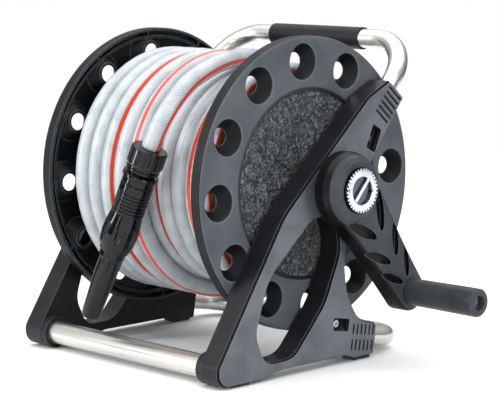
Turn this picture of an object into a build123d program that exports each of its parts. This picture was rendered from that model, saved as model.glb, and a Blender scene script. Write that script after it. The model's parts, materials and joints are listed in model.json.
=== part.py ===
from build123d import *
from math import asin, atan2, cos, degrees, pi, radians, sin, tan
import os

# Garden hose reel cart: two moulded side frames joined by tubes, a flanged reel with a crank,
# and a wound hose that ends in a quick connector and an adjustable spray nozzle.
# Millimetres. +X runs along the reel's axis towards the crank, -Y is the front, +Z is up.
# The origin is the middle of the foot print, on the ground.

# ---- driving dimensions, about the reel's axis and middle plane ----
AXIS_HEIGHT = 173.0            # reel axis above the ground
FLANGE_R = 140.0               # outer radius of both flanges
REEL_HALF = 114.0              # reel's middle plane to a flange's outer face
FRAME_GAP = 3.0                # flange's outer face to the side frame's inner face
FRAME_THICK = 25.0             # side frame, shell and cover together
COVER_THICK = 2.8              # outer cover of a side frame
WALL = 3.0                     # usual moulded wall
FRONT_REACH = 144.0            # foremost point of the feet
RIGHT_REACH = 256.0            # end of the crank grip
LEFT_REACH = 180.0             # end of the water inlet
RUN_GAP = 0.05                 # radial clearance of every running fit

# ---- side frames: outline and opening as (y, z, corner radius) ----
OUTLINE = [
    (-144.0, -152.0, 10.0),
    (-60.0, -22.0, 90.0),
    (53.0, 80.0, 40.0),
    (83.8, 94.9, 2.5),
    (104.2, 77.1, 2.5),
    (60.0, 22.0, 70.0),
    (20.0, -64.0, 70.0),
    (25.0, -106.0, 45.0),
    (42.0, -133.0, 30.0),
    (67.2, -139.6, 3.0),
    (62.4, -170.0, 3.0),
    (34.0, -170.0, 6.0),
    (20.0, -165.5, 20.0),
    (-60.0, -165.5, 60.0),
    (-92.0, -171.0, 40.0),
    (-144.0, -171.0, 13.0),
]
OPENING = [
    (-22.0, -28.0, 24.0),
    (-80.0, -78.0, 55.0),
    (-97.0, -128.0, 26.0),
    (-84.0, -157.0, 16.0),
    (-48.0, -156.0, 26.0),
    (-6.0, -110.0, 60.0),
    (15.0, -62.0, 36.0),
    (9.0, -28.0, 13.0),
]
WINDOWS = [                    # small windows over the screws in the arm and the rear foot
    [(50.0, 33.0, 2.0), (62.0, 26.5, 2.0), (71.5, 48.0, 2.0), (60.0, 55.0, 2.0)],
    [(5.5, -126.0, 2.0), (28.0, -130.0, 2.0), (26.0, -142.0, 2.0), (5.0, -138.5, 2.0)],
]
SCREW_SPOTS = [(60.8, 40.6), (16.0, -134.0)]
SHELL_WALL = 3.2               # side frame's rim, seen from outside
HUB_R = 27.0                   # solid boss around a bush
BUSH_R = 14.0
FOOT = (-128.0, -157.0)        # crossbar's axis
FOOT_BOSS = 17.0
SOCKET_HALF = 13.5             # half the width of an arm at a socket's mouth
GROOVES = 6
GROOVE_PITCH = 5.6
GROOVE_WIDE = 2.6
PAD_PLACES = [-112.0, 50.0]
PAD_LONG = 22.0
PAD_DEEP = 4.0
PAD_WIDE = 15.0

# ---- tubes ----
TUBE_R = 9.5
TUBE_WALL = 1.2
BAR_R = 11.0                   # front crossbar
GRIP_WALL = 1.7                # sleeve on the handle
HANDLE_END = (94.0, 86.0)      # where the handle tube leaves its arm
HANDLE_TILT = 49.0
HANDLE_RUN = 58.0              # arm's mouth to the handle bar's axis
HANDLE_BEND = 48.0
REAR_END = (65.0, -153.5)      # where the rear tube leaves its socket
REAR_TILT = -9.0
REAR_RUN = 47.5
REAR_BEND = 32.0
SOCKET_DEPTH = 42.0

# ---- reel ----
HOLES = 12
HOLE_PHASE = 3.5
HOLE_RING_R = 0.83 * FLANGE_R
FUNNEL_R = 18.0
HOLE_R = 8.4
FLANGE_DEEP = 13.0             # rim and funnels reach this far in from the outer face
RIM_WALL = 3.0
RIDGE_R = 131.0
PANEL_R = 91.0
PANEL_SINK = 4.0
HUB_COLLAR_R = 20.0
HUB_TUBE_R = 24.0
BORE_R = 12.0                  # hub bore, both shafts are pressed into it
DRUM_R = 58.0                  # outside of the drum that the hose is wound on
DRUM_SCREWS = 6
DRUM_SCREW_R = 47.0
AXLE_R = 9.0                   # crank shaft journal
PIPE_R = 10.0                  # hollow water axle journal
PIPE_BORE = 6.5

# ---- crank ----
CRANK_BACK = REEL_HALF + 39.0
CRANK_FACE = REEL_HALF + 59.0
CRANK_DOME = REEL_HALF + 66.0
CAP_OUT = REEL_HALF + 70.0
ARM_LONG = 135.0
ARM_TILT = -52.3               # degrees from straight back, negative is down
ARM_WAIST = 2.2                # how hollow the arm's flanks are
BOSS_R = 35.0
ROOT_R = 32.0
TIP_R = 19.0
LEAF_DEEP = 5.0
LEAVES = [                     # outer end (s, n), inner end (s, n), width
    ((21.0, 25.0), (58.0, 4.8), 10.5),
    ((61.0, 23.0), (91.0, 5.0), 8.8),
    ((92.0, 19.5), (118.5, 4.2), 7.6),
]
TEETH = 34
CAP_R = 20.3
SPINDLE_R = 5.0
SCREW_R = 3.0
GRIP_R = 13.0
GRIP_START = CRANK_FACE + 0.6
PIN_HEAD = RIGHT_REACH - 6.0

# ---- water way ----
ELBOW_R = 16.0
INLET_TILT = -62.0             # the inlet points back and down
INLET_R = 8.2
SEAL_R = 12.6
OUTLET_X = 40.0                # middle of the window that the hose leaves the drum by
OUTLET_Z = 43.0

# ---- hose and nozzle ----
HOSE_R = 8.75                  # half of the hose's outside diameter
LOWER_R = 106.4                # outside of the last full layer
OUTER_R = 122.0                # outside of the part-filled top layer
COIL_LEFT = -90.5
COIL_RIGHT = 98.0
TOP_LAYER_END = 5.0
TAIL_R = 115.8                 # the tail's middle where it lies on the last full layer
TAIL_STEP = 30.0               # the tail turns by this much at each point on the coil
NOZZLE_TOP = Vector(37.6, -131.0, 38.7)
NOZZLE_TIP = Vector(-28.4, -152.0, -125.8)
NUT_END = 20.0                 # places along the nozzle, from the hose's end
COLLAR_START = 26.4
COLLAR_END = 36.0
BODY_START = 36.8
FLUTE_START = 66.0
BODY_END = 103.0
HEAD_START = 107.1

# ---- places worked out from them ----
FRAME_IN = REEL_HALF + FRAME_GAP
FRAME_OUT = FRAME_IN + FRAME_THICK
SHELL_OUT = FRAME_OUT - COVER_THICK
TUBE_X = FRAME_IN + 11.9
BAR_END = SHELL_OUT - WALL
DRUM_WEB = REEL_HALF - WALL - PANEL_SINK
PIPE_OUT = FRAME_OUT + 24.0
SEAL_PLACES = [FRAME_OUT + 7.0, FRAME_OUT + 12.0]
REAR_REACH = HANDLE_END[0] + HANDLE_RUN * cos(radians(HANDLE_TILT)) + TUBE_R + GRIP_WALL
MID_X = (LEFT_REACH - RIGHT_REACH) / 2
AXIS_Y = (FRONT_REACH - REAR_REACH) / 2
PLACED = Pos(MID_X, AXIS_Y, AXIS_HEIGHT)

made = {}


# ---- small helpers; sketches on the YZ plane hold (y, z) from the reel's axis ----
def slab(sketch, x0, x1):
    """A sketch in (y, z), drawn out from x0 to x1."""
    return extrude(Plane.YZ.offset(x0) * sketch, amount=x1 - x0)


def disc(y, z, r, x0, x1):
    return slab(Pos(y, z) * Circle(r), x0, x1)


def ring(y, z, r_out, r_in, x0, x1):
    return slab(Pos(y, z) * Circle(r_out) - Pos(y, z) * Circle(r_in), x0, x1)


def turned(points):
    """A solid of revolution about the reel's axis from (x, radius) points."""
    return revolve(make_face(Polyline(*points, close=True)), axis=Axis.X)


def polar(radius, angle):
    """(y, z) at a radius and an angle in degrees, measured from the back, upwards."""
    return radius * cos(radians(angle)), radius * sin(radians(angle))


def mirrored(solid):
    return mirror(solid, about=Plane.YZ)


def keep(name, solid):
    """Files a sub-part that was modelled about the reel's axis."""
    made[name] = PLACED * solid


def both_sides(name, solid):
    """Files a right-hand piece and its left-hand mirror image."""
    keep(name + "_right", solid)
    keep(name + "_left", mirrored(solid))


def rounded_face(corners):
    """A closed outline from (y, z, corner radius) points."""
    return make_face(FilletPolyline(*[(y, z) for y, z, _ in corners],
                                    radius=[r for _, _, r in corners], close=True))


# ---- side frames ----
def along(end, tilt, s, n=0.0):
    """(y, z) at s inwards along a socket's axis from its mouth and n across it, upwards."""
    t = radians(tilt)
    return end[0] - s * cos(t) - n * sin(t), end[1] - s * sin(t) + n * cos(t)


def strip(end, tilt, s0, s1, half, n=0.0):
    """A rectangle in (y, z) along a socket's axis."""
    middle = along(end, tilt, (s0 + s1) / 2, n)
    return Pos(*middle) * Rot(0, 0, tilt) * Rectangle(s1 - s0, 2 * half)


def socket_bore(end, tilt):
    t = radians(tilt)
    mouth = Plane(origin=(TUBE_X, *along(end, tilt, -6)), z_dir=(0, -cos(t), -sin(t)))
    return extrude(mouth * Circle(TUBE_R), amount=SOCKET_DEPTH + 6)


SOCKETS = [(HANDLE_END, HANDLE_TILT), (REAR_END, REAR_TILT)]
WINDOW_FLOOR = FRAME_OUT - 9.0


def frame_shell():
    """The deep half of a side frame, open outwards, with tube sockets and a hub."""
    hollow = offset(rounded_face(OUTLINE), -SHELL_WALL) - offset(rounded_face(OPENING), SHELL_WALL)
    for end, tilt in SOCKETS:
        hollow -= strip(end, tilt, -10, SOCKET_DEPTH + 3, SOCKET_HALF)
    for window in WINDOWS:
        hollow -= offset(rounded_face(window), 4)
    hollow -= Circle(HUB_R)
    hollow -= Pos(*FOOT) * Circle(FOOT_BOSS)
    shell = slab(rounded_face(OUTLINE) - rounded_face(OPENING), FRAME_IN, SHELL_OUT)
    shell -= slab(hollow, FRAME_IN + WALL, SHELL_OUT)
    shell += disc(*FOOT, BAR_R + 4.2, FRAME_IN - 7, FRAME_IN)
    shell -= disc(*FOOT, BAR_R, FRAME_IN - 8, BAR_END)
    shell -= disc(0, 0, BUSH_R, FRAME_IN - 1, SHELL_OUT + 1)
    for end, tilt in SOCKETS:
        shell -= socket_bore(end, tilt)
    for window, spot in zip(WINDOWS, SCREW_SPOTS):
        shell -= slab(rounded_face(window), WINDOW_FLOOR, SHELL_OUT)
        shell -= disc(*spot, 1.6, WINDOW_FLOOR - 8, WINDOW_FLOOR)
    for y in PAD_PLACES:
        pocket = Pos(y, PAD_DEEP / 2 - 171) * Rectangle(PAD_LONG, PAD_DEEP)
        shell -= slab(pocket, FRAME_IN + 5, FRAME_IN + 5 + PAD_WIDE)
    return shell


def frame_cover():
    """The outer face of a side frame, set in a little so that a groove shows round it."""
    face = offset(rounded_face(OUTLINE), -1.6) - offset(rounded_face(OPENING), 1.2)
    face -= Circle(HUB_R - 9)
    for window in WINDOWS:
        face -= rounded_face(window)
    cover = slab(face, SHELL_OUT, FRAME_OUT)
    for k in range(GROOVES):
        s = 4.0 + k * GROOVE_PITCH
        grooves = strip(HANDLE_END, HANDLE_TILT, s, s + GROOVE_WIDE, SOCKET_HALF - 2.5)
        for n in (-7.6, 7.6):
            grooves += strip(REAR_END, REAR_TILT, s, s + GROOVE_WIDE, 5.2, n)
        cover -= slab(grooves, FRAME_OUT - 1.8, FRAME_OUT + 1)
    return cover


def foot_pads():
    """Rubber blocks let into the underside of each foot, standing 2 mm proud."""
    high = PAD_DEEP - 171
    middle = (high - AXIS_HEIGHT) / 2
    blocks = [Pos(y, middle) * Rectangle(PAD_LONG, high + AXIS_HEIGHT) for y in PAD_PLACES]
    return Compound([slab(block, FRAME_IN + 5, FRAME_IN + 5 + PAD_WIDE) for block in blocks])


def frame_screws():
    """Pan-head screws at the bottom of the windows, with a cross in each head."""
    group = []
    for y, z in SCREW_SPOTS:
        cross = Pos(y, z) * (Rectangle(4.6, 0.9) + Rectangle(0.9, 4.6))
        head = disc(y, z, 3.6, WINDOW_FLOOR, WINDOW_FLOOR + 2.2)
        head -= slab(cross, WINDOW_FLOOR + 1.0, WINDOW_FLOOR + 3)
        screw = head + disc(y, z, 1.6, WINDOW_FLOOR - 8, WINDOW_FLOOR)
        group += [screw, mirrored(screw)]
    return Compound(group)


both_sides("frame_shell", frame_shell())
both_sides("frame_cover", frame_cover())
both_sides("foot_pads", foot_pads())
keep("frame_screws", frame_screws())


# ---- tubes that tie the frames together ----
def u_tube(end, tilt, run, bend):
    """A tube bent into a U: two legs in the sockets and a bar across."""
    path = FilletPolyline((TUBE_X, *along(end, tilt, SOCKET_DEPTH)), (TUBE_X, *along(end, tilt, -run)),
                          (-TUBE_X, *along(end, tilt, -run)), (-TUBE_X, *along(end, tilt, SOCKET_DEPTH)),
                          radius=bend)
    start = Plane(origin=path @ 0, z_dir=path % 0)
    return sweep(start * Circle(TUBE_R), path=path) - sweep(
        start * Circle(TUBE_R - TUBE_WALL), path=path)


keep("handle_tube", u_tube(HANDLE_END, HANDLE_TILT, HANDLE_RUN, HANDLE_BEND))
keep("rear_tube", u_tube(REAR_END, REAR_TILT, REAR_RUN, REAR_BEND))
keep("front_crossbar", ring(*FOOT, BAR_R, BAR_R - TUBE_WALL, -BAR_END, BAR_END))
keep("handle_grip", ring(*along(HANDLE_END, HANDLE_TILT, -HANDLE_RUN), TUBE_R + GRIP_WALL, TUBE_R, -62, 62))


# ---- bushes that the reel turns in ----
def bush(journal):
    hole = journal + RUN_GAP
    return ring(0, 0, BUSH_R, hole, FRAME_IN + 0.4, SHELL_OUT + 4.5) + ring(
        0, 0, BUSH_R + 3.5, hole, SHELL_OUT, SHELL_OUT + 4.5)


keep("bush_right", bush(AXLE_R))
keep("bush_left", mirrored(bush(PIPE_R)))


# ---- flanges ----
def flange():
    """A dished disc with a channelled rim, funnel holes, ribs and a hub."""
    out, web, deep = REEL_HALF, REEL_HALF - WALL, REEL_HALF - FLANGE_DEEP
    body = turned([(deep, FLANGE_R - RIM_WALL), (deep, FLANGE_R - 1.2), (deep + 1.2, FLANGE_R),
                   (out - 2.5, FLANGE_R), (out - 0.7, FLANGE_R - 0.7), (out, FLANGE_R - 2.5),
                   (out, PANEL_R + 2), (out - 1, PANEL_R), (out - PANEL_SINK, PANEL_R),
                   (out - PANEL_SINK, BORE_R), (DRUM_WEB, BORE_R), (DRUM_WEB, PANEL_R + WALL),
                   (web, PANEL_R + WALL + 2), (web, FLANGE_R - RIM_WALL)])
    body += ring(0, 0, RIDGE_R + 1.2, RIDGE_R - 1.2, deep + 3, web + 0.5)
    body += ring(0, 0, HUB_TUBE_R, BORE_R, REEL_HALF - 34, DRUM_WEB + 0.5)
    body += ring(0, 0, DRUM_R - WALL, DRUM_R - 2 * WALL, deep - 1, DRUM_WEB + 0.5)
    rim_rib = Pos((RIDGE_R + FLANGE_R) / 2 - 1.2, 0) * Rectangle(FLANGE_R - RIDGE_R, 1.6)
    reach = HOLE_RING_R - HOLE_R - DRUM_R - 2
    web_rib = Pos(DRUM_R + 1 + reach / 2, 0) * Rectangle(reach, 1.8)
    boss = turned([(deep, HOLE_R), (deep, HOLE_R + 2.6), (web + 0.5, FUNNEL_R + 2.4),
                   (web + 0.5, HOLE_R)])
    funnel = turned([(deep - 1, 0), (deep - 1, HOLE_R), (deep + 0.8, HOLE_R),
                     (out - 1.0, FUNNEL_R - 1.2), (out + 0.2, FUNNEL_R), (out + 0.2, 0)])
    angles = [HOLE_PHASE + 360 / HOLES * k for k in range(HOLES)]
    for angle in angles:
        body += Pos(0, *polar(HOLE_RING_R, angle)) * boss
        body += slab(Rot(0, 0, angle) * rim_rib, deep + 3, web + 0.5)
        body += slab(Rot(0, 0, angle) * web_rib, deep + 2, DRUM_WEB + 0.2)
    for angle in angles:
        body -= Pos(0, *polar(HOLE_RING_R, angle)) * funnel
    for k in range(DRUM_SCREWS):
        body -= disc(*polar(DRUM_SCREW_R, 360 / DRUM_SCREWS * k), 2.1, deep - 2, out + 1)
    return body


def flange_panel():
    """The grained disc that covers the flange's middle, with a bead round its edge."""
    out = REEL_HALF
    face = turned([(out - PANEL_SINK, HUB_COLLAR_R), (out - PANEL_SINK, PANEL_R - 0.3),
                   (out - 1.6, PANEL_R - 0.3), (out - 1.0, PANEL_R - 1.2),
                   (out - 1.0, PANEL_R - 2.4), (out - 2.0, PANEL_R - 3.0), (out - 2.0, HUB_COLLAR_R)])
    for k in range(DRUM_SCREWS):
        spot = polar(DRUM_SCREW_R, 360 / DRUM_SCREWS * k)
        face -= disc(*spot, 4.6, out - PANEL_SINK - 1, out - PANEL_SINK + 1.5)
    return face


def drum_screws():
    seat = REEL_HALF - PANEL_SINK
    group = []
    for k in range(DRUM_SCREWS):
        spot = polar(DRUM_SCREW_R, 360 / DRUM_SCREWS * k)
        group.append(disc(*spot, 4.0, seat, seat + 1.4) + disc(*spot, 1.7, seat - 22, seat))
    return Compound(group)


both_sides("flange", flange())
both_sides("flange_panel", flange_panel())
both_sides("drum_screws", drum_screws())


# ---- drum and shafts ----
def drum():
    """The tube that the hose is wound on, with screw bosses inside and a window for the hose."""
    body = ring(0, 0, DRUM_R, DRUM_R - WALL, -DRUM_WEB, DRUM_WEB)
    for k in range(DRUM_SCREWS):
        angle = 360 / DRUM_SCREWS * k
        spot = polar(DRUM_SCREW_R, angle)
        fin = Rot(0, 0, angle) * (Pos(DRUM_SCREW_R + 6.6, 0) * Rectangle(5, 2.4))
        boss = slab(Pos(*spot) * (Circle(5) - Circle(1.7)) + fin, DRUM_WEB - 40, DRUM_WEB - 8)
        body += boss
        body += mirrored(boss)
    return body - slab(Pos(0, DRUM_R) * Rectangle(70, 24), OUTLET_X - 14, OUTLET_X + 14)


keep("drum", drum())
shaft = turned([(70, 0), (70, BORE_R), (REEL_HALF - 1, BORE_R), (REEL_HALF - 1, 15.5),
                (FRAME_IN - 0.6, 15.5), (FRAME_IN - 0.6, AXLE_R), (CRANK_FACE - 2, AXLE_R),
                (CRANK_FACE - 2, 0)])
keep("crank_shaft", shaft - disc(0, 0, SCREW_R, CRANK_FACE - 30, CRANK_FACE))
pipe = turned([(60, PIPE_BORE), (60, BORE_R), (REEL_HALF - 1, BORE_R), (REEL_HALF - 1, 15.5),
               (FRAME_IN - 0.6, 15.5), (FRAME_IN - 0.6, PIPE_R), (PIPE_OUT, PIPE_R),
               (PIPE_OUT, PIPE_BORE)])
keep("water_axle", mirrored(pipe))

# ---- water way: inlet elbow on the left frame, outlet elbow and barb in the drum ----
inlet_plane = Plane(origin=((FRAME_OUT + 2.6 + LEFT_REACH) / 2 + 5, 0, 0),
                    z_dir=(0, cos(radians(INLET_TILT)), sin(radians(INLET_TILT))))


def inlet_elbow():
    """Housing round the water axle's end, with the spout that takes the supply."""
    start = FRAME_OUT + 2.6
    body = disc(0, 0, ELBOW_R, start, LEFT_REACH - 2) + disc(0, 0, ELBOW_R - 2, LEFT_REACH - 2, LEFT_REACH)
    body += extrude(inlet_plane * Circle(12.5), amount=30)
    body -= disc(0, 0, PIPE_R + RUN_GAP, start - 1, PIPE_OUT + 0.6)
    body -= disc(0, 0, PIPE_BORE, PIPE_OUT, LEFT_REACH - 4)
    body -= extrude(inlet_plane * Circle(INLET_R), amount=31)
    for x in SEAL_PLACES:
        body -= ring(0, 0, SEAL_R, PIPE_R, x, x + 2.6)
    foot = strip((0, 0), 118, 0, 34, 7)
    plate = slab(foot - Circle(BUSH_R + 4), FRAME_OUT, FRAME_OUT + 5)
    return body + slab(foot - Circle(BUSH_R - 1.5), start, start + 3) + plate


def spigot(points):
    """A turned fitting that stands on the inlet's axis, from (radius, height) points."""
    return inlet_plane.location * revolve(Plane.XZ * make_face(Polyline(*points, close=True)), axis=Axis.Z)


keep("inlet_elbow", mirrored(inlet_elbow()))
keep("inlet_seals", Compound([mirrored(ring(0, 0, SEAL_R, PIPE_R + RUN_GAP, x, x + 2.6))
                              for x in SEAL_PLACES]))
keep("inlet_nipple", mirrored(spigot([
    (6.0, 14), (INLET_R, 14), (INLET_R, 30), (14, 30), (14, 36), (8.4, 36), (8.4, 42), (9.6, 43.5),
    (9.6, 46), (8.4, 47.5), (8.4, 55), (7.4, 58), (6.0, 58)])))


def drum_elbow():
    """Carries the water from the axle's inner end to the drum's window."""
    body = disc(0, 0, BORE_R + 3, -66, -24) + disc(0, 0, 11, -24, OUTLET_X + 9)
    body += Pos(OUTLET_X, 0, 0) * Cylinder(7, OUTLET_Z - 10.5, align=(Align.CENTER, Align.CENTER, Align.MIN))
    body -= disc(0, 0, BORE_R, -66, -58)
    body -= disc(0, 0, PIPE_BORE, -60, OUTLET_X)
    body -= Pos(OUTLET_X, 0, 0) * Cylinder(4.5, 60, align=(Align.CENTER, Align.CENTER, Align.MIN))
    return body


def across(points):
    """A turned fitting that lies across the drum's window, from (radius, distance) points."""
    place = Plane(origin=(OUTLET_X, 0, OUTLET_Z), z_dir=(0, -1, 0)).location
    return place * revolve(Plane.XZ * make_face(Polyline(*points, close=True)), axis=Axis.Z)


keep("drum_elbow", drum_elbow())
barb = across([(0, -9), (10.5, -9), (10.5, 7), (6.1, 7), (6.6, 10), (6.1, 10), (6.6, 14), (6.1, 14),
               (6.0, 18), (4.2, 18), (4.2, -6), (0, -6)])
barb += Pos(OUTLET_X, 0, OUTLET_Z - 20) * Cylinder(4.5, 11, align=(Align.CENTER, Align.CENTER, Align.MIN))
barb -= Pos(OUTLET_X, 0, OUTLET_Z - 21) * Cylinder(3.2, 21, align=(Align.CENTER, Align.CENTER, Align.MIN))
keep("outlet_barb", barb)
keep("outlet_nut", across([(7.0, 7), (10.8, 7), (10.8, 17), (9.8, 19), (7.0, 19)]))


# ---- crank: arm, cap, screw, spindle and the turning grip ----
arm_end = polar(ARM_LONG, ARM_TILT)


def arm_face(grow=0.0):
    """Two circles joined by slightly hollow flanks."""
    big, small = ROOT_R + grow, TIP_R + grow
    lean = asin((big - small) / ARM_LONG)
    root = Vector(big * sin(lean), big * cos(lean))
    tip = Vector(ARM_LONG + small * sin(lean), small * cos(lean))
    waist = (root + tip) / 2 - Vector(0, ARM_WAIST)
    low_root, low_tip, low_waist = (Vector(p.X, -p.Y) for p in (root, tip, waist))
    outline = ThreePointArc(root, waist, tip) + ThreePointArc(tip, (ARM_LONG + small, 0), low_tip)
    outline += ThreePointArc(low_tip, low_waist, low_root)
    outline += ThreePointArc(low_root, (-big, 0), root)
    return Rot(0, 0, ARM_TILT) * make_face(outline)


def leaf(outer, inner, wide):
    """A long oval recess between two points on the arm."""
    across_leaf, along_leaf = inner[1] - outer[1], inner[0] - outer[0]
    middle = Pos((inner[0] + outer[0]) / 2, (inner[1] + outer[1]) / 2)
    oval = Ellipse(Vector(along_leaf, across_leaf).length / 2, wide / 2)
    return Rot(0, 0, ARM_TILT) * (middle * Rot(0, 0, degrees(atan2(across_leaf, along_leaf))) * oval)


def crank_arm():
    back = CRANK_BACK
    body = slab(arm_face(), back, CRANK_FACE)
    body = fillet(body.faces().filter_by(Axis.X).sort_by(Axis.X)[-1].edges(), 4.0)
    body -= slab(arm_face(-3.2) - Circle(BOSS_R) - Pos(*arm_end) * Circle(12.5), back, CRANK_FACE - 9.5)
    body += turned([(back - 2, AXLE_R), (back - 2, BOSS_R - 5), (back + 3, BOSS_R),
                    (back + 13, BOSS_R), (back + 19, BOSS_R - 2), (back + 23, BOSS_R - 5),
                    (CRANK_DOME - 1, BOSS_R - 9), (CRANK_DOME, BOSS_R - 12), (CRANK_DOME, 21.5),
                    (CRANK_DOME - 4, 21.5), (CRANK_DOME - 4, 12.0), (CRANK_FACE - 2, 12.0),
                    (CRANK_FACE - 2, AXLE_R)])
    body -= disc(0, 0, AXLE_R, back - 2, CRANK_FACE - 2)
    body -= disc(0, 0, 12.0, CRANK_FACE - 2, CRANK_DOME - 4)
    for outer, inner, wide in LEAVES:
        for side in (-1, 1):
            recess = leaf((outer[0], side * outer[1]), (inner[0], side * inner[1]), wide)
            body -= slab(recess, CRANK_FACE - LEAF_DEEP, CRANK_FACE + 1)
    body -= disc(*arm_end, SPINDLE_R, back, CRANK_FACE)
    return body - disc(*arm_end, 8.0, back, back + 4.2)


def crank_cap():
    """A serrated cap with a plain ring and bar on it, pushed into the crank's dome."""
    seat = CRANK_DOME - 4
    gear = Circle(CAP_R - 1.6)
    for k in range(TEETH):
        gear += Rot(0, 0, 360 / TEETH * k) * (Pos(CAP_R - 0.9, 0) * Rectangle(2.4, 1.9))
    body = disc(0, 0, CAP_R - 1.2, seat, seat + 4.6)
    body += slab(gear - Circle(13.2), seat + 3.0, CAP_OUT - 0.6)
    body += ring(0, 0, CAP_R - 2.6, 13.8, CAP_OUT - 0.7, CAP_OUT)
    return body + slab(Rot(0, 0, 48) * Rectangle(27, 3.4), seat + 4, CAP_OUT - 0.8)


keep("crank_arm", crank_arm())
keep("crank_cap", crank_cap())
crank_screw = disc(0, 0, 10.5, CRANK_FACE - 2, CRANK_FACE + 1.6)
crank_screw += disc(0, 0, SCREW_R, CRANK_FACE - 28, CRANK_FACE - 2)
keep("crank_screw", crank_screw - slab(RegularPolygon(2.9, 6), CRANK_FACE, CRANK_FACE + 2))
keep("crank_grip", Pos(0, *arm_end) * turned([
    (GRIP_START, SPINDLE_R + RUN_GAP), (GRIP_START, GRIP_R - 1), (GRIP_START + 1, GRIP_R),
    (RIGHT_REACH - 6, GRIP_R + 0.6), (RIGHT_REACH - 1.5, GRIP_R + 0.4), (RIGHT_REACH, GRIP_R - 1.2),
    (RIGHT_REACH, 7.4), (RIGHT_REACH - 9, 7.4), (RIGHT_REACH - 9, SPINDLE_R + RUN_GAP)]))
keep("grip_spindle", Pos(0, *arm_end) * turned([
    (CRANK_BACK, 0), (CRANK_BACK, 7.8), (CRANK_BACK + 4.0, 7.8), (CRANK_BACK + 4.0, SPINDLE_R),
    (PIN_HEAD - 2.4, SPINDLE_R), (PIN_HEAD - 2.4, 6.6), (PIN_HEAD, 6.6), (PIN_HEAD, 2.4),
    (PIN_HEAD - 2, 2.4), (PIN_HEAD - 2, 0)]))

# ---- hose: the coil on the drum and the length that leads to the nozzle ----
keep("hose_coil", turned([
    (COIL_LEFT, DRUM_R), (COIL_LEFT, OUTER_R - 3), (COIL_LEFT + 3, OUTER_R),
    (TOP_LAYER_END - 3, OUTER_R), (TOP_LAYER_END, OUTER_R - 3), (TOP_LAYER_END, LOWER_R),
    (COIL_RIGHT - 3, LOWER_R), (COIL_RIGHT, LOWER_R - 3), (COIL_RIGHT, DRUM_R)]))
nozzle_dir = (NOZZLE_TIP - NOZZLE_TOP).normalized()


def on_coil(x, angle, radius):
    """A point beside the coil at that angle, measured up from the front."""
    return Vector(x, -radius * cos(radians(angle)), radius * sin(radians(angle)))


def bend_points(before, corner, after, reach, count):
    """Points whose rounding approaches one wide arc that starts a reach before the corner."""
    first, second = (corner - before).normalized(), (after - corner).normalized()
    turn = radians(first.get_angle(second))
    arc_r = reach / tan(turn / 2)
    inward = (second - first * cos(turn)).normalized()
    middle = corner - first * reach + inward * arc_r
    out = arc_r / cos(turn / count / 2)
    angles = [turn * (k + 0.5) / count for k in range(count)]
    return [middle + first * (out * sin(a)) - inward * (out * cos(a)) for a in angles]


TAIL_RING = TAIL_R / cos(radians(TAIL_STEP / 2))
tail_points = [
    on_coil(14.6, 210, TAIL_R),
    on_coil(14.8, 195, TAIL_RING),
    on_coil(15.0, 165, TAIL_RING),
    on_coil(15.0, 135, TAIL_RING),
    on_coil(16.0, 105, TAIL_RING),
    on_coil(35.0, 74, TAIL_RING + 0.8),
]
tail_points += bend_points(tail_points[-1], NOZZLE_TOP - nozzle_dir * 58, NOZZLE_TOP, 53, 4)
tail_points.append(NOZZLE_TOP)


def corner_radii(points):
    """The widest arc that fits each corner's two runs, with some of both left straight."""
    radii = []
    for a, b, c in zip(points[:-2], points[1:-1], points[2:]):
        half = radians((b - a).get_angle(c - b)) / 2
        radii.append(0.45 * min((b - a).length, (c - b).length) / tan(half))
    return radii


tail_radii = corner_radii(tail_points)
tail_path = FilletPolyline(*tail_points, radius=tail_radii)
tail = sweep(Plane(origin=tail_path @ 0, z_dir=tail_path % 0) * Circle(HOSE_R), path=tail_path)
print("tail points", [tuple(round(v, 2) for v in p) for p in tail_points])
print("tail radii", [round(r, 1) for r in tail_radii])
print("tail length", round(tail_path.length, 1))
print("tail volume share", round(tail.volume / (pi * HOSE_R ** 2 * tail_path.length), 4))
keep("hose_tail", tail)

# ---- quick connector and spray nozzle, modelled down their own axis from the hose end ----
nozzle_place = Plane(origin=NOZZLE_TOP, x_dir=(1, 0, 0), z_dir=nozzle_dir).location


def spun(points):
    """A solid of revolution about the nozzle's axis from (radius, distance) points."""
    return revolve(Plane.XZ * make_face(Polyline(*points, close=True)), axis=Axis.Z)


def rod(r, z0, z1, x):
    return Pos(x, 0, z0) * Cylinder(r, z1 - z0, align=(Align.CENTER, Align.CENTER, Align.MIN))


def connector_nut():
    body = spun([(HOSE_R + 0.2, 0), (16.4, 0), (17.5, 1.5), (17.5, 16), (16.2, 18), (16.2, NUT_END),
                 (10.0, NUT_END), (10.0, 13), (HOSE_R + 0.2, 11)])
    for k in range(24):
        body -= Rot(0, 0, 15 * k) * rod(0.9, 3, 15, 17.7)
    return body


def nozzle_body():
    """The grip: a ringed neck and a swelling with oval hollows round it."""
    outline = [(8.6, BODY_START), (15.4, BODY_START), (15.8, BODY_START + 1)]
    for k in range(6):
        z = 44.6 + k * 3.4
        outline += [(15.8, z), (14.6, z + 0.7), (14.6, z + 1.7), (15.8, z + 2.4)]
    outline += [(15.8, FLUTE_START), (15.2, FLUTE_START + 0.8), (17.2, 80), (17.8, 88), (16.6, 99),
                (15.6, BODY_END), (12.6, BODY_END), (12.6, 92), (10.4, 90), (10.4, 52), (7.0, 50),
                (7.0, 40)]
    body = spun(outline)
    for k in range(8):
        body -= Rot(0, 0, 45 * k) * Pos(20.3, 0, 84) * Rot(0, -4, 0) * scale(Sphere(1), by=(4.6, 4.0, 15))
    return body


def spray_pin():
    """The fixed pin that the spray head closes against, with four water holes in its foot."""
    body = spun([(0, 54), (10.4, 54), (10.4, 60), (6.0, 60), (3.4, 64), (3.4, 138), (2.2, 146), (0, 150)])
    for k in range(4):
        body -= Rot(0, 0, 90 * k) * rod(1.4, 53, 61, 8.0)
    return body


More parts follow.
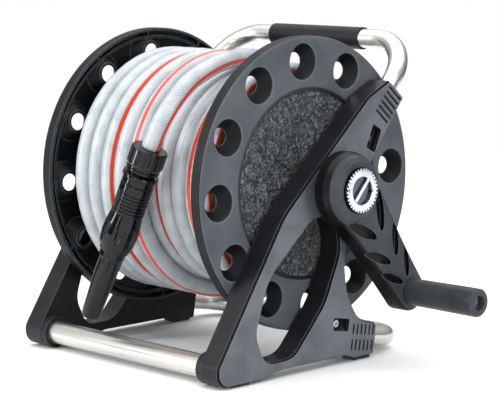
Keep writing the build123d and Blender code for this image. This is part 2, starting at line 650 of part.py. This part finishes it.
def spray_head():
    """The fluted barrel that is twisted to set the spray."""
    tip = (NOZZLE_TIP - NOZZLE_TOP).length
    body = spun([(9.4 + RUN_GAP, BODY_END - 7), (11.9, BODY_END - 7), (11.9, HEAD_START),
                 (12.4, HEAD_START + 0.4), (12.4, HEAD_START + 6), (11.6, HEAD_START + 7.2),
                 (11.2, 130), (9.4, tip - 8), (8.9, tip - 1), (8.3, tip), (6.2, tip), (4.4, tip - 6),
                 (4.4, 154), (6.4, 148), (6.4, HEAD_START + 5), (9.4 + RUN_GAP, HEAD_START + 5)])
    for k in range(10):
        body -= Rot(0, 0, 36 * k) * Pos(13.4, 0, 142) * Rot(0, 3.2, 0) * Cylinder(1.9, 58)
    return body


pieces = {
    "connector_nut": connector_nut(),
    "connector_core": spun([(4.2, 0), (6.2, 0), (6.2, 13.4), (10.0, 13.4), (10.0, 21), (15.8, 21),
                            (15.8, 23), (12.0, 23), (12.0, 35.6), (9.2, 35.6), (9.2, 25), (4.2, 25)]),
    "release_collar": spun([(12.0 + RUN_GAP, COLLAR_START), (16.9, COLLAR_START),
                            (17.4, COLLAR_START + 1), (17.4, COLLAR_START + 3),
                            (15.6, COLLAR_START + 4.4), (15.6, COLLAR_END),
                            (12.0 + RUN_GAP, COLLAR_END)]),
    "nozzle_spigot": spun([(3.5, 25.6), (9.2 - RUN_GAP, 25.6), (9.2 - RUN_GAP, BODY_START),
                           (8.6, BODY_START), (7.0, 40), (7.0, 50), (3.5, 50)]),
    "nozzle_body": nozzle_body(),
    "nozzle_band": spun([(12.2, BODY_END), (14.6, BODY_END), (14.2, BODY_END + 3.6),
                         (12.2, BODY_END + 3.6)]),
    "spray_pin": spray_pin(),
    "spray_carrier": spun([(7.0, 66), (10.4 - RUN_GAP, 66), (10.4 - RUN_GAP, 86), (9.4, 86),
                           (9.4, HEAD_START + 4.4), (7.0, HEAD_START + 4.4)]),
    "spray_head": spray_head(),
}
for name, piece in pieces.items():
    keep(name, nozzle_place * piece)

# ---- write one STEP per sub-part ----
os.makedirs("parts", exist_ok=True)
for name, solid in made.items():
    export_step(solid, "parts/" + name + ".step")
print(len(made), "sub-parts")
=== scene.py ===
"""Looks of a garden hose reel cart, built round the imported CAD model."""

import json
from math import atan2, cos, floor, pi, radians, sin, tan

import bmesh
import bpy
from mathutils import Matrix, Vector


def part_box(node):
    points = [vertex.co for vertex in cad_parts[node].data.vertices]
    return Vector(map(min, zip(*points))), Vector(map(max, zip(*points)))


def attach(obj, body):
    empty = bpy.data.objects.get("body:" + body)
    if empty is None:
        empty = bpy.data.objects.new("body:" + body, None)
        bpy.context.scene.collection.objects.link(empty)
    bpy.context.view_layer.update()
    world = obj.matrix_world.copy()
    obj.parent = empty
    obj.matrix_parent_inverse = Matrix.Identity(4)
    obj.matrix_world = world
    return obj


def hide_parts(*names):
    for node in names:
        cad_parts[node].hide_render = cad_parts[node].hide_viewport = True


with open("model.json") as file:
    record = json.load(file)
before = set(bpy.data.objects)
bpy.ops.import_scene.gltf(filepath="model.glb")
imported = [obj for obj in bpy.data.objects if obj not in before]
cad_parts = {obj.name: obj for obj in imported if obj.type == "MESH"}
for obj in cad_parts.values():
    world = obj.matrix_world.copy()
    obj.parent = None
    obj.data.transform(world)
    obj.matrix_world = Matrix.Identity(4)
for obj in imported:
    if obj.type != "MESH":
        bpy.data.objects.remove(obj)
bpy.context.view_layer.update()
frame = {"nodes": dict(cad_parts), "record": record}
slots = {part["node"]: part["material_slot"] for part in frame["record"]["subparts"]}

# ---- places, in millimetres from the reel's axis and middle plane, as in the CAD ----
MM = 0.001
right_flange, left_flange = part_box("flange_right"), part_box("flange_left")
AXIS = Vector((
    (left_flange[0].x + right_flange[1].x) / 2,
    (right_flange[0].y + right_flange[1].y) / 2,
    (right_flange[0].z + right_flange[1].z) / 2,
))
REEL_HALF = (right_flange[1].x - AXIS.x) / MM
UP = Vector((0, 0, 1))


def at(x, y, z):
    return AXIS + Vector((x, y, z)) * MM


# ---- camera: it looks past the crank-side flange's outer face ----
AZIMUTH, ELEVATION = radians(44.225), radians(7.54)
DISTANCE = 1.8574
PAN, TILT = radians(1.706), radians(-0.499)
LENS = 141.3


def make_camera():
    back = Vector((sin(AZIMUTH) * cos(ELEVATION), -cos(AZIMUTH) * cos(ELEVATION), sin(ELEVATION)))
    right = (-back).cross(UP).normalized()
    up = right.cross(-back)
    look = (-back - right * tan(PAN) + up * tan(TILT)).normalized()
    right = look.cross(up).normalized()
    up = right.cross(look)
    camera = bpy.data.objects.new("camera", bpy.data.cameras.new("camera"))
    bpy.context.scene.collection.objects.link(camera)
    turn = Matrix((right, up, -look)).transposed().to_4x4()
    camera.matrix_world = Matrix.Translation(at(REEL_HALF, 0, 0) + back * DISTANCE) @ turn
    camera.data.lens = LENS
    camera.data.sensor_width = 36
    camera.data.clip_start = 0.05
    bpy.context.scene.camera = camera


make_camera()


# ---- shader helpers ----
def node(tree, kind, inputs=None, **settings):
    """Add a shader node; an input given as a socket is linked, and any other is set."""
    made = tree.nodes.new("ShaderNode" + kind)
    for key, value in settings.items():
        setattr(made, key, value)
    for key, value in (inputs or {}).items():
        if isinstance(value, bpy.types.NodeSocket):
            tree.links.new(value, made.inputs[key])
        else:
            made.inputs[key].default_value = value
    return made


def calc(tree, operation, *values):
    return node(tree, "Math", dict(enumerate(values)), operation=operation).outputs[0]


def blend_colours(tree, share, first, second):
    made = node(tree, "Mix", {0: share, 6: rgba(first), 7: rgba(second)}, data_type="RGBA")
    return made.outputs[2]


def blend_value(tree, share, first, second):
    made = node(tree, "Mix", {0: share, 2: first, 3: second}, data_type="FLOAT")
    return made.outputs[0]


def rgba(colour):
    return colour if isinstance(colour, bpy.types.NodeSocket) else (*colour, 1)


def invert(tree, value):
    return calc(tree, "SUBTRACT", 1.0, value)


def step_up(tree, value, low, high):
    """0 below low, 1 above high, smooth between."""
    inputs = {0: value, 1: low, 2: high}
    return node(tree, "MapRange", inputs, interpolation_type="SMOOTHSTEP").outputs[0]


def step_at(tree, value, place, half):
    """0 below the place and 1 above it, with a smooth step that reaches half to either side."""
    return step_up(tree, value, place - half, place + half)


def noise(tree, vector, size, detail=2.0, rough=0.5):
    """Noise between 0 and 1 with features about size metres across."""
    inputs = {"Vector": vector, "Scale": 1 / size, "Detail": detail, "Roughness": rough}
    return node(tree, "TexNoise", inputs).outputs[0]


# ---- details of the finishes, with lengths in metres ----
PAINTED_RECESS_SHADE = (0.003, 0.003, 0.004)  # painted shade: near-black colour for what lies behind a moulded face
LEATHER_SIZE, LEATHER_DEPTH = 0.0040, 0.0035
PANEL_BORDER_R = 0.088
SEAMS, SEAM_PHASE = 10, 147.5  # how many, and the first one's angle in degrees
SEAM_FROM_R, SEAM_TO_R = 0.026, 0.052
STREAK_SCALE = (8, 900, 900)  # long along the tubes, fine across them
BRAID_THREADS, BRAID_PITCH = 12.0, 0.0033  # threads round the hose, and the length of one cross
STRIPE_HALF = 0.034  # half of the stripe's width, in turns round the hose
CRANK_FACE = 0.173  # the crank arm's outer face, from the reel's middle plane
CAP_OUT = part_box("crank_cap")[1].x - AXIS.x


class Finish:
    """A procedural material in the making, in a piece's own coordinates."""

    def __init__(self, name, **sockets):
        self.material = bpy.data.materials.new(name)
        self.material.use_nodes = True
        self.tree = self.material.node_tree
        self.shader = self.tree.nodes["Principled BSDF"]
        for key, value in sockets.items():
            self.shader.inputs[key.replace("_", " ")].default_value = value
        coordinates = node(self.tree, "TexCoord")
        self.place = coordinates.outputs["Object"]
        self.uv = coordinates.outputs["UV"]

    def link(self, socket, value):
        self.tree.links.new(value, self.shader.inputs[socket])

    def colour(self, value):
        self.link("Base Color", value)

    def mottle(self, dark, light, size, detail=3.0):
        """A colour that wanders between two shades."""
        share = step_at(self.tree, noise(self.tree, self.place, size, detail), 0.5, 0.2)
        return blend_colours(self.tree, share, dark, light)

    def rough_between(self, low, high, size):
        """Roughness that wanders, as wear and handling leave it."""
        value = noise(self.tree, self.place, size, 4.0, 0.6)
        inputs = {0: value, 1: 0.3, 2: 0.7, 3: low, 4: high}
        self.link("Roughness", node(self.tree, "MapRange", inputs).outputs[0])

    def edges(self, radius):
        """1 along the edges and 0 on the faces, for the highlights painted along them."""
        tree = self.tree
        soft = node(tree, "Bevel", {"Radius": radius}, samples=4).outputs[0]
        plain = node(tree, "NewGeometry").outputs["Normal"]
        alike = node(tree, "VectorMath", {0: soft, 1: plain}, operation="DOT_PRODUCT")
        return invert(tree, step_up(tree, alike.outputs["Value"], 0.88, 0.992))

    def paint_edge_highlight(self, shade, edge_highlight, radius, amount):
        """The shade, with a painted highlight colour over the given amount of its edges."""
        share = calc(self.tree, "MULTIPLY", self.edges(radius), amount)
        return blend_colours(self.tree, share, shade, edge_highlight)

    def relief(self, *layers, edge=0.0008):
        """Bumps from (height, depth in metres) layers, over edges that are softened by a radius."""
        normal = node(self.tree, "Bevel", {"Radius": edge}, samples=4).outputs[0] if edge else None
        for height, depth in layers:
            inputs = {"Height": height, "Distance": depth, "Strength": 1.0}
            if normal is not None:
                inputs["Normal"] = normal
            normal = node(self.tree, "Bump", inputs).outputs[0]
        self.link("Normal", normal)


def side_of_reel(finish):
    """A point's distance from the reel's middle plane, in metres."""
    x = node(finish.tree, "SeparateXYZ", {0: finish.place}).outputs[0]
    return calc(finish.tree, "ABSOLUTE", calc(finish.tree, "SUBTRACT", x, AXIS.x))


def round_axis(finish):
    """A point's distance from the reel's axis, in metres, and its angle round it, in radians."""
    tree = finish.tree
    _, y, z = node(tree, "SeparateXYZ", {0: finish.place}).outputs
    y = calc(tree, "SUBTRACT", y, AXIS.y)
    z = calc(tree, "SUBTRACT", z, AXIS.z)
    squares = [calc(tree, "MULTIPLY", value, value) for value in (y, z)]
    out = calc(tree, "SQRT", calc(tree, "ADD", *squares))
    return out, calc(tree, "ARCTAN2", z, y)


def moulded(name, dark, light, rough=(0.4, 0.55), grain=0.0007, depth=0.00004, edge=0.0008,
            face=None, edge_highlight=None, **sockets):
    """Moulded plastic or rubber: a faint mottle, a fine grain, worn gloss and softened edges.

    Where face is given, in metres from the reel's middle plane, recesses behind it are painted
    near-black as shade.
    Where an edge colour is given, it is painted along the edges as a highlight."""
    finish = Finish(name, **sockets)
    shade = finish.mottle(dark, light, 0.03)
    # painted shade: whatever lies more than about 0.4 mm behind the face is coloured near-black
    if face is not None:
        front = step_at(finish.tree, side_of_reel(finish), face - 0.0004, 0.0002)
        shade = blend_colours(finish.tree, front, PAINTED_RECESS_SHADE, shade)
    # painted highlight: a lighter colour along the edges
    if edge_highlight is not None:
        shade = finish.paint_edge_highlight(shade, edge_highlight, edge, 0.85)
    finish.colour(shade)
    finish.rough_between(*rough, 0.02)
    finish.relief((noise(finish.tree, finish.place, grain, 2.0, 0.6), depth), edge=edge)
    return finish.material


def flange_plastic():
    """Grained plastic, with painted shade, near-black, inside the funnels and behind the face."""
    finish = Finish("reel_plastic_look", Specular_IOR_Level=0.2)
    tree = finish.tree
    # painted shade: near-black wherever the surface lies about a millimetre or more behind the
    # outer face
    face = step_up(tree, side_of_reel(finish), (REEL_HALF - 1.1) * MM, (REEL_HALF - 0.4) * MM)
    outer = finish.mottle((0.056, 0.064, 0.072), (0.078, 0.088, 0.098), 0.04, 4.0)
    shade = blend_colours(tree, face, (0.003, 0.0035, 0.0045), outer)
    # painted highlight: a lighter colour along the rims and edges
    finish.colour(finish.paint_edge_highlight(shade, (0.24, 0.27, 0.29), 0.0009, 0.8))
    finish.rough_between(0.42, 0.58, 0.015)
    finish.relief((noise(tree, finish.place, 0.0009, 3.0, 0.7), 0.00010), edge=0.001)
    return finish.material


def panel_plastic():
    """The flange's inlay: a coarse leather grain, its raised tops painted light as highlights, with
    a plain border and short radial seams.
    """
    finish = Finish("panel_plastic_look", Specular_IOR_Level=0.55)
    tree = finish.tree
    out, angle = round_axis(finish)
    grain = node(tree, "TexNoise", {
        "Vector": finish.place, "Scale": 1 / LEATHER_SIZE, "Detail": 2.5, "Roughness": 0.62,
        "Distortion": 1.4,
    }).outputs[0]
    border = step_at(tree, out, PANEL_BORDER_R, 0.0004)
    spacing = 2 * pi / SEAMS
    turn = calc(tree, "DIVIDE", calc(tree, "SUBTRACT", angle, radians(SEAM_PHASE)), spacing)
    off = calc(tree, "SUBTRACT", turn, calc(tree, "ROUND", turn))
    across = calc(tree, "MULTIPLY", calc(tree, "MULTIPLY", off, spacing), out)
    seam = invert(tree, step_up(tree, calc(tree, "ABSOLUTE", across), 0.0004, 0.0009))
    seam = calc(tree, "MULTIPLY", seam, step_at(tree, out, SEAM_FROM_R, 0.0005))
    seam = calc(tree, "MULTIPLY", seam, invert(tree, step_at(tree, out, SEAM_TO_R, 0.0005)))
    quiet = calc(tree, "MAXIMUM", border, seam)
    # the grain's tone varies, and its raised tops are painted lighter as highlights on the grain
    light = step_up(tree, grain, 0.44, 0.66)
    shade = blend_colours(tree, light, (0.008, 0.009, 0.011), (0.125, 0.138, 0.150))
    finish.colour(blend_colours(tree, quiet, shade, (0.004, 0.004, 0.005)))
    finish.rough_between(0.34, 0.5, 0.01)
    finish.relief((blend_value(tree, quiet, grain, 0.2), LEATHER_DEPTH), edge=0.0006)
    return finish.material


def brushed(name, colour, tint, rough):
    """Drawn metal: fine streaks along the tube, with a faint warm cast in clouds."""
    finish = Finish(name, Metallic=1.0)
    tree = finish.tree
    drawn = node(tree, "Mapping", {0: finish.place, 3: STREAK_SCALE}).outputs[0]
    streaks = noise(tree, drawn, 1.0, 3.0, 0.6)
    clouds = step_up(tree, noise(tree, finish.place, 0.05, 3.0), 0.42, 0.68)
    base = blend_colours(tree, clouds, colour, tint)
    darker = [channel * 0.82 for channel in colour]
    finish.colour(blend_colours(tree, step_up(tree, streaks, 0.35, 0.7), base, darker))
    inputs = {0: streaks, 1: 0.3, 2: 0.7, 3: rough[0], 4: rough[1]}
    finish.link("Roughness", node(tree, "MapRange", inputs).outputs[0])
    finish.relief((streaks, 0.00001), edge=0.0004)
    return finish.material


def chrome():
    """Bright plating on the cap's teeth, ring and bar, with everything sunk more than about 1.3 mm
    below them coloured dark.
    """
    finish = Finish("chrome_look", Metallic=1.0)
    tree = finish.tree
    raised = step_at(tree, side_of_reel(finish), CAP_OUT - 0.0013, 0.0003)
    cloud = step_up(tree, noise(tree, finish.place, 0.006, 3.0), 0.35, 0.65)
    plate = blend_colours(tree, cloud, (0.80, 0.82, 0.85), (0.62, 0.66, 0.72))
    finish.colour(blend_colours(tree, raised, (0.10, 0.12, 0.15), plate))
    finish.rough_between(0.10, 0.22, 0.004)
    finish.relief((noise(tree, finish.place, 0.002, 2.0), 0.00002), edge=0.0004)
    return finish.material


def hose_finish():
    """Clear PVC over a fine criss-cross braid, with one orange stripe that runs along it."""
    finish = Finish("hose_look", Coat_Weight=0.3, Coat_Roughness=0.15, Specular_IOR_Level=0.4)
    tree = finish.tree
    run, turn, _ = node(tree, "SeparateXYZ", {0: finish.uv}).outputs
    threads = 0.0
    for sign in (1, -1):
        lay = calc(tree, "ADD", calc(tree, "MULTIPLY", turn, BRAID_THREADS),
                   calc(tree, "MULTIPLY", run, sign / BRAID_PITCH))
        wave = calc(tree, "ABSOLUTE", calc(tree, "SINE", calc(tree, "MULTIPLY", lay, pi)))
        thread = invert(tree, step_up(tree, wave, 0.25, 0.55))
        threads = calc(tree, "MAXIMUM", threads, thread)
    wall = finish.mottle((0.30, 0.335, 0.36), (0.43, 0.465, 0.485), 0.02)
    body = blend_colours(tree, calc(tree, "MULTIPLY", threads, 0.32), wall, (0.66, 0.69, 0.70))
    off = calc(tree, "ABSOLUTE", calc(tree, "SUBTRACT", turn, calc(tree, "ROUND", turn)))
    stripe = invert(tree, step_at(tree, off, STRIPE_HALF, 0.003))
    finish.colour(blend_colours(tree, stripe, body, (0.66, 0.036, 0.002)))
    finish.rough_between(0.26, 0.4, 0.01)
    finish.relief((threads, 0.00012), edge=0)
    return finish.material


# the edge colours given below are painted highlights along the edges
FINISHES = {
    "frame_plastic": moulded(
        "frame_plastic_look", (0.0085, 0.0078, 0.0100), (0.0125, 0.0118, 0.0145),
        rough=(0.30, 0.44), grain=0.0008, depth=0.00003, edge_highlight=(0.16, 0.175, 0.19),
        Specular_IOR_Level=0.2),
    "foot_rubber": moulded(
        "foot_rubber_look", (0.010, 0.010, 0.010), (0.016, 0.016, 0.016),
        rough=(0.7, 0.85), depth=0.00008),
    "grip_rubber": moulded(
        "grip_rubber_look", (0.0050, 0.0050, 0.0058), (0.0090, 0.0090, 0.0105),
        rough=(0.38, 0.52), grain=0.0006, depth=0.00007, edge_highlight=(0.06, 0.065, 0.07),
        Specular_IOR_Level=0.22),
    "steel": brushed("steel_look", (0.55, 0.56, 0.58), (0.50, 0.47, 0.44), (0.22, 0.36)),
    "aluminium_tube": brushed(
        "aluminium_look", (0.70, 0.69, 0.67), (0.76, 0.71, 0.62), (0.24, 0.36)),
    "bush_plastic": moulded("bush_plastic_look", (0.022, 0.024, 0.027), (0.030, 0.033, 0.036)),
    "reel_plastic": flange_plastic(),
    "panel_plastic": panel_plastic(),
    "shaft_plastic": moulded("shaft_plastic_look", (0.020, 0.021, 0.024), (0.028, 0.030, 0.033)),
    "inlet_plastic": moulded(
        "inlet_plastic_look", (0.016, 0.017, 0.019), (0.024, 0.025, 0.028),
        rough=(0.28, 0.4), depth=0.00002),
    "seal_rubber": moulded(
        "seal_rubber_look", (0.012, 0.012, 0.012), (0.018, 0.018, 0.018), rough=(0.6, 0.75)),
    "crank_plastic": moulded(
        "crank_plastic_look", (0.026, 0.029, 0.033), (0.042, 0.046, 0.051),
        rough=(0.30, 0.42), grain=0.0010, depth=0.00005, edge=0.001, face=CRANK_FACE,
        edge_highlight=(0.13, 0.145, 0.16), Specular_IOR_Level=0.18),
    "chrome_cap": chrome(),
    "nozzle_black": moulded(
        "nozzle_black_look", (0.0012, 0.0014, 0.0021), (0.0025, 0.0030, 0.0042),
        rough=(0.10, 0.16), grain=0.0040, depth=0.00001, edge=0.0005,
        edge_highlight=(0.045, 0.050, 0.062), Specular_IOR_Level=0.30),
    "nozzle_inner": moulded(
        "nozzle_inner_look", (0.020, 0.021, 0.023), (0.028, 0.029, 0.032), rough=(0.35, 0.5)),
    "hose": hose_finish(),
}
# the covers are greyer than the rest of their slot
cover_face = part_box("frame_cover_right")[1].x - AXIS.x
cover_look = moulded(
    "frame_cover_look", (0.070, 0.078, 0.086), (0.105, 0.117, 0.128),
    rough=(0.30, 0.42), grain=0.0009, edge=0.0005, face=cover_face,
    edge_highlight=(0.30, 0.33, 0.36), Specular_IOR_Level=0.25)
LOOKS = {"frame_cover_right": cover_look, "frame_cover_left": cover_look}
for name, piece in frame["nodes"].items():
    finish = LOOKS.get(name, FINISHES[slots[name]])
    piece.data.materials.clear()
    piece.data.materials.append(finish)


# ---- hose: the route's control points, the coil's as turns that lie in lanes ----
HOSE_R = 8.75
TAIL_R = 115.8  # of the last turn, which leads to the free end
STEP = 30  # degrees from one control point to the next
RING = 1 / cos(radians(STEP / 2))  # control points lie this much outside the circle they make
LAYER_RADII = [66.8, 82.0, 97.6, 113.3]
LANE_PITCH = 19.1
LOWER_START, MIDDLE_START = 79.5, -81.5
LANES_EACH = 9
TOP_LANES = [-80.6, -61.0, -42.1, -22.5, -3.6]
RISEN_LANE = (83.0, 104.5)  # the turn that rides up the crank-side flange
WINDOW_ROUTE = [(40, -19, 43), (40, -38, 43), (44, -58, 37)]  # out of the drum's window
LEAVING_X = 14.6
FIRST_ANGLE = 15
CROSSING_ANGLE = -150
LEAVING_ANGLE = -150
CROSSING = 1 / 6  # the last part of each turn, in which the hose crosses to the next lane
EARLY_LAST_CROSSING = 30 / 360  # of a turn, so that the hose leaves straight
START_X = 50  # where the hose comes up beside the drum's window
START_SWEEP = 180  # degrees over which it then reaches its first lane


def on_coil(x, angle, radius):
    """A point beside the coil; the angle runs up from the front, over the top and down the back."""
    return at(x, -radius * cos(radians(angle)), radius * sin(radians(angle)))


def make_lanes():
    """Every turn's x and radius, from the drum outwards."""
    down = [LOWER_START - LANE_PITCH * i for i in range(LANES_EACH)]
    up = [MIDDLE_START + LANE_PITCH * i for i in range(LANES_EACH)]
    lanes = []
    for radius, row in zip(LAYER_RADII, (down, up, down, TOP_LANES)):
        lanes += [(x, radius) for x in row]
    lanes[2 * LANES_EACH] = RISEN_LANE
    return lanes + [(LEAVING_X, TAIL_R)]


lanes = make_lanes()


def turn_number(angle):
    """Turns since the hose reached the drum; a turn ends low at the back."""
    return (CROSSING_ANGLE - angle) / 360


def between_lanes(angle, values):
    """A value per lane, blended into the next lane's as the hose crosses over."""
    number = max(turn_number(angle), 0.0)
    if number > len(values) - 2:
        number += EARLY_LAST_CROSSING
    lane = min(floor(number), len(values) - 1)
    share = min(max((number - lane - (1 - CROSSING)) / CROSSING, 0.0), 1.0)
    following = values[min(lane + 1, len(values) - 1)]
    return values[lane] + (following - values[lane]) * share


def coil_route():
    """Out of the drum's window, round every lane, and up the back to where the hose leaves."""
    route = [at(*place) for place in WINDOW_ROUTE]
    xs = [x for x, _ in lanes]
    radii = [radius for _, radius in lanes]
    last = LEAVING_ANGLE - 360 * (len(lanes) - 1)
    angle = FIRST_ANGLE
    while angle > last:
        share = min((FIRST_ANGLE - angle) / START_SWEEP, 1.0)
        x = START_X + (between_lanes(angle, xs) - START_X) * share
        route.append(on_coil(x, angle, between_lanes(angle, radii) * RING))
        angle -= STEP
    route.append(on_coil(LEAVING_X, last, TAIL_R))
    return route


# the free end, from the coil's back over its top and down to the connector
TAIL_ROUTE = [
    (14.6, 100.29, -57.9), (14.8, 115.8, -31.03), (15.0, 115.8, 31.03), (15.0, 84.77, 84.77),
    (16.0, 31.03, 115.8), (35.0, -33.27, 116.01), (48.73, -85.16, 102.39), (50.78, -104.44, 90.55),
    (49.02, -119.63, 73.74), (43.65, -129.07, 53.78), (37.6, -131.0, 38.7),
]


def spline_line(name, route, resolution):
    """Points along the smooth line that the route controls."""
    curve = bpy.data.curves.new(name + "_route", "CURVE")
    curve.dimensions = "3D"
    spline = curve.splines.new("NURBS")
    spline.points.add(len(route) - 1)
    for point, place in zip(spline.points, route):
        point.co = (*place, 1)
    spline.order_u = 3
    spline.use_endpoint_u = True
    spline.resolution_u = resolution
    holder = bpy.data.objects.new(name + "_route", curve)
    line = [v.co.copy() for v in bpy.data.meshes.new_from_object(holder).vertices]
    bpy.data.objects.remove(holder)
    return line


# the stripe's place round the hose in each lane, in degrees from outwards towards the crank;
# past 360 where it has to wind on, and not back, from the lane before
STRIPE_TURN = {18: 78, 19: 10, 20: 88, 21: 84, 22: 70, 28: 210, 29: 58, 31: 372, 32: 464}
HIDDEN_STRIPE = 180
stripe_turns = [STRIPE_TURN.get(lane, HIDDEN_STRIPE) for lane in range(len(lanes))]


def hose_tube(name, line, stripe, sides=20):
    """A tube along the line, mapped with its run in metres and the turn from its stripe."""
    mesh = bpy.data.meshes.new(name)
    made = bmesh.new()
    layer = made.loops.layers.uv.new("UVMap")
    rings, runs = [], []
    run = 0.0
    for i, place in enumerate(line):
        tangent = (line[min(i + 1, len(line) - 1)] - line[max(i - 1, 0)]).normalized()
        out = Vector((0, place.y - AXIS.y, place.z - AXIS.z))
        out = (out - tangent * out.dot(tangent)).normalized()
        across = out.cross(tangent)
        ring = []
        for k in range(sides):
            turn = 2 * pi * k / sides
            spoke = (out * cos(turn) + across * sin(turn)) * HOSE_R * MM
            ring.append(made.verts.new(place + spoke))
        rings.append(ring)
        runs.append(run)
        if i + 1 < len(line):
            run += (line[i + 1] - place).length
    for i in range(len(line) - 1):
        for k in range(sides):
            corners = ((i, k), (i, k + 1), (i + 1, k + 1), (i + 1, k))
            face = made.faces.new([rings[row][column % sides] for row, column in corners])
            face.smooth = True
            for loop, (row, column) in zip(face.loops, corners):
                loop[layer].uv = (runs[row], column / sides - stripe[row] / 360)
    for ring in (rings[0], rings[-1]):
        made.faces.new(ring)
    bmesh.ops.recalc_face_normals(made, faces=made.faces)
    made.to_mesh(mesh)
    made.free()
    piece = bpy.data.objects.new(name, mesh)
    bpy.context.scene.collection.objects.link(piece)
    piece.data.materials.append(FINISHES["hose"])
    return piece


def stripe_along(line):
    """The stripe's turn at each point, from the angle wound so far."""
    stripe = []
    wound = None
    for place in line:
        angle = atan2(place.z - AXIS.z, -(place.y - AXIS.y)) * 180 / pi
        if wound is None:
            wound = angle
        wound += (angle - wound + 180) % 360 - 180
        stripe.append(between_lanes(wound, stripe_turns))
    return stripe


coil_line = spline_line("hose_wound", coil_route(), 5)
coil = hose_tube("hose_wound", coil_line, stripe_along(coil_line))
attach(coil, "reel")
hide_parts("hose_coil")

tail_line = spline_line("hose_lead", [at(*place) for place in TAIL_ROUTE], 16)
tail = hose_tube("hose_lead", tail_line, [stripe_turns[-1]] * len(tail_line), sides=28)
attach(tail, "frame")
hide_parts("hose_tail")


# ---- floor and soft studio light ----
def make_floor():
    mesh = bpy.data.meshes.new("floor")
    made = bmesh.new()
    bmesh.ops.create_grid(made, x_segments=8, y_segments=8, size=1.5)
    made.to_mesh(mesh)
    made.free()
    floor_piece = bpy.data.objects.new("floor", mesh)
    bpy.context.scene.collection.objects.link(floor_piece)
    finish = Finish("floor_look", Specular_IOR_Level=0.2)
    finish.colour(finish.mottle((0.86, 0.86, 0.86), (0.88, 0.88, 0.88), 0.4))
    finish.rough_between(0.6, 0.7, 0.3)
    mesh.materials.append(finish.material)


def make_light(name, place, target, size, power, colour=(1, 1, 1)):
    data = bpy.data.lights.new(name, "AREA")
    data.shape = "RECTANGLE"
    data.size, data.size_y = size
    data.energy = power
    data.color = colour
    lamp = bpy.data.objects.new(name, data)
    bpy.context.scene.collection.objects.link(lamp)
    aim = (Vector(target) - Vector(place)).to_track_quat("-Z", "Y").to_matrix().to_4x4()
    lamp.matrix_world = Matrix.Translation(place) @ aim


def make_world():
    """White to the eye, and softer as a light."""
    world = bpy.data.worlds.new("studio")
    world.use_nodes = True
    bpy.context.scene.world = world
    tree = world.node_tree
    seen = node(tree, "LightPath").outputs["Is Camera Ray"]
    upward = node(tree, "SeparateXYZ", {0: node(tree, "TexCoord").outputs["Generated"]}).outputs[2]
    sky = blend_value(tree, step_up(tree, upward, 0.02, 0.35), 0.10, 0.55)
    background = tree.nodes["Background"]
    background.inputs["Color"].default_value = (1, 1, 1, 1)
    tree.links.new(blend_value(tree, seen, sky, 1.0), background.inputs["Strength"])


make_floor()
make_world()
middle = at(0, 0, 0)
make_light("overhead", (0.0, 0.3, 2.3), (0.0, 0.3, 0.0), (4.2, 4.2), 118)
make_light("front_left", (-1.0, -1.7, 0.8), middle, (0.22, 1.5), 27, (0.97, 0.99, 1.0))
make_light("front_strip", (0.25, -2.2, 0.55), middle, (0.09, 1.1), 5, (0.92, 0.96, 1.0))
make_light("front_right", (1.25, -2.0, 1.0), middle, (0.10, 1.3), 8, (0.90, 0.95, 1.0))
make_light("right_side", (1.9, -0.1, 0.7), middle, (0.9, 0.9), 17, (0.93, 0.97, 1.0))
bpy.context.scene.view_settings.view_transform = "Standard"
